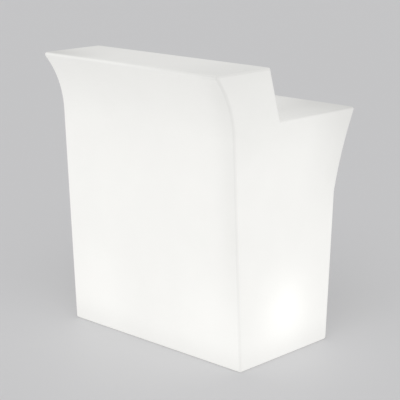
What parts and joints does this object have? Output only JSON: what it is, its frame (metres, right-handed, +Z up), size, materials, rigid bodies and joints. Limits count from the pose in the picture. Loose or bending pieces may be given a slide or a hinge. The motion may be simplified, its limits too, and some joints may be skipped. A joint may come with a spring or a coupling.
{
  "type": "illuminated bar counter",
  "caption": "Stepped bar counter in a translucent moulded shell lit from inside, with a flared front ledge, a lower worktop behind and an open storage niche.",
  "frame": {"origin": "on the floor, under the middle of the whole counter's bounding box", "axes": "+X along the counter, to the right for someone standing at the customer's side; +Y from the customer's side to the barkeeper's side; +Z up"},
  "size_m": [0.9, 0.7698, 1.1],
  "materials": {
    "shell": "satin moulded polyethylene, lit from inside",
    "shelf": "white powder coat",
    "cover": "satin",
    "gasket": "matte",
    "screw_steel": "bright zinc",
    "bracket_steel": "zinc plated sheet",
    "insert_brass": "machined",
    "holder": "satin",
    "contact_ceramic": "glazed",
    "sleeve_brass": "drawn",
    "bulb_cap": "satin",
    "bulb_body": "satin",
    "bulb_globe": "opal, lit",
    "box_plastic": "satin",
    "terminal_plastic": "moulded",
    "lead_sheath": "satin",
    "foot_rubber": "matte",
    "foot_steel": "zinc plated",
    "panel_plastic": "fine texture",
    "contact_metal": "nickel plated brass",
    "flap_plastic": "satin",
    "rocker_plastic": "polished",
    "vent_plastic": "satin"
  },
  "bodies": {
    "counter": {"shell": "shell", "left_port_cover": "cover", "right_port_cover": "cover", "left_port_gasket": "gasket", "right_port_gasket": "gasket", "panel_gasket": "gasket", "cover_screws": "screw_steel", "bracket_screws": "screw_steel", "lid_screws": "screw_steel", "panel_screws": "screw_steel", "lamp_nipples": "screw_steel", "nipple_nuts": "screw_steel", "flap_pin": "screw_steel", "left_lamp_bracket": "bracket_steel", "right_lamp_bracket": "bracket_steel", "cover_inserts": "insert_brass", "foot_inserts": "insert_brass", "left_lamp_holder": "holder", "right_lamp_holder": "holder", "left_contact_block": "contact_ceramic", "right_contact_block": "contact_ceramic", "left_thread_sleeve": "sleeve_brass", "right_thread_sleeve": "sleeve_brass", "left_bulb_cap": "bulb_cap", "right_bulb_cap": "bulb_cap", "left_bulb_body": "bulb_body", "right_bulb_body": "bulb_body", "left_bulb_globe": "bulb_globe", "right_bulb_globe": "bulb_globe", "junction_box": "box_plastic", "junction_box_lid": "box_plastic", "box_glands": "box_plastic", "gland_nuts": "box_plastic", "lead_clips": "box_plastic", "terminal_block": "terminal_plastic", "left_lamp_lead": "lead_sheath", "right_lamp_lead": "lead_sheath", "supply_lead": "lead_sheath", "switch_wires": "lead_sheath", "foot_lock_nuts": "foot_steel", "panel_plate": "panel_plastic", "inlet_body": "panel_plastic", "switch_housing": "panel_plastic", "inlet_boot": "panel_plastic", "inlet_blades": "contact_metal", "switch_tabs": "contact_metal", "vent_plug": "vent_plastic"},
    "front_left_pad": {"front_left_foot_pad": "foot_rubber"},
    "front_left_stud": {"front_left_foot_stud": "foot_steel"},
    "front_right_pad": {"front_right_foot_pad": "foot_rubber"},
    "front_right_stud": {"front_right_foot_stud": "foot_steel"},
    "back_left_pad": {"back_left_foot_pad": "foot_rubber"},
    "back_left_stud": {"back_left_foot_stud": "foot_steel"},
    "back_right_pad": {"back_right_foot_pad": "foot_rubber"},
    "back_right_stud": {"back_right_foot_stud": "foot_steel"},
    "flap": {"inlet_flap": "flap_plastic"},
    "rocker": {"rocker": "rocker_plastic"},
    "shelf": {"storage_shelf": "shelf"}
  },
  "joints": [
    {"name": "front_left_foot_travel", "type": "slide", "parent": "counter", "child": "front_left_pad", "axis": [0, 0, -1], "range_m": [0, 0.015]},
    {"name": "front_left_foot_turn", "type": "hinge", "parent": "front_left_pad", "child": "front_left_stud", "pos_m": [-0.39, -0.20569, 0.012], "axis": [0, 0, -1], "range_deg": [0, 3600]},
    {"name": "front_right_foot_travel", "type": "slide", "parent": "counter", "child": "front_right_pad", "axis": [0, 0, -1], "range_m": [0, 0.015]},
    {"name": "front_right_foot_turn", "type": "hinge", "parent": "front_right_pad", "child": "front_right_stud", "pos_m": [0.39, -0.20569, 0.012], "axis": [0, 0, -1], "range_deg": [0, 3600]},
    {"name": "back_left_foot_travel", "type": "slide", "parent": "counter", "child": "back_left_pad", "axis": [0, 0, -1], "range_m": [0, 0.015]},
    {"name": "back_left_foot_turn", "type": "hinge", "parent": "back_left_pad", "child": "back_left_stud", "pos_m": [-0.39, 0.19431, 0.012], "axis": [0, 0, -1], "range_deg": [0, 3600]},
    {"name": "back_right_foot_travel", "type": "slide", "parent": "counter", "child": "back_right_pad", "axis": [0, 0, -1], "range_m": [0, 0.015]},
    {"name": "back_right_foot_turn", "type": "hinge", "parent": "back_right_pad", "child": "back_right_stud", "pos_m": [0.39, 0.19431, 0.012], "axis": [0, 0, -1], "range_deg": [0, 3600]},
    {"name": "flap_hinge", "type": "hinge", "parent": "counter", "child": "flap", "pos_m": [-0.358, 0.23301, 0.139], "axis": [1, 0, 0], "range_deg": [0, 110]},
    {"name": "rocker_tilt", "type": "hinge", "parent": "counter", "child": "rocker", "pos_m": [-0.298, 0.22471, 0.118], "axis": [-1, 0, 0], "range_deg": [0, 18]},
    {"name": "shelf_slide", "type": "slide", "parent": "counter", "child": "shelf", "axis": [0, 1, 0], "range_m": [0, 0.25]}
  ],
  "couplings": [
    {"joint": "front_left_foot_turn", "follows": "front_left_foot_travel", "rad_per_m": 4188.8},
    {"joint": "front_right_foot_turn", "follows": "front_right_foot_travel", "rad_per_m": 4188.8},
    {"joint": "back_left_foot_turn", "follows": "back_left_foot_travel", "rad_per_m": 4188.8},
    {"joint": "back_right_foot_turn", "follows": "back_right_foot_travel", "rad_per_m": 4188.8}
  ]
}
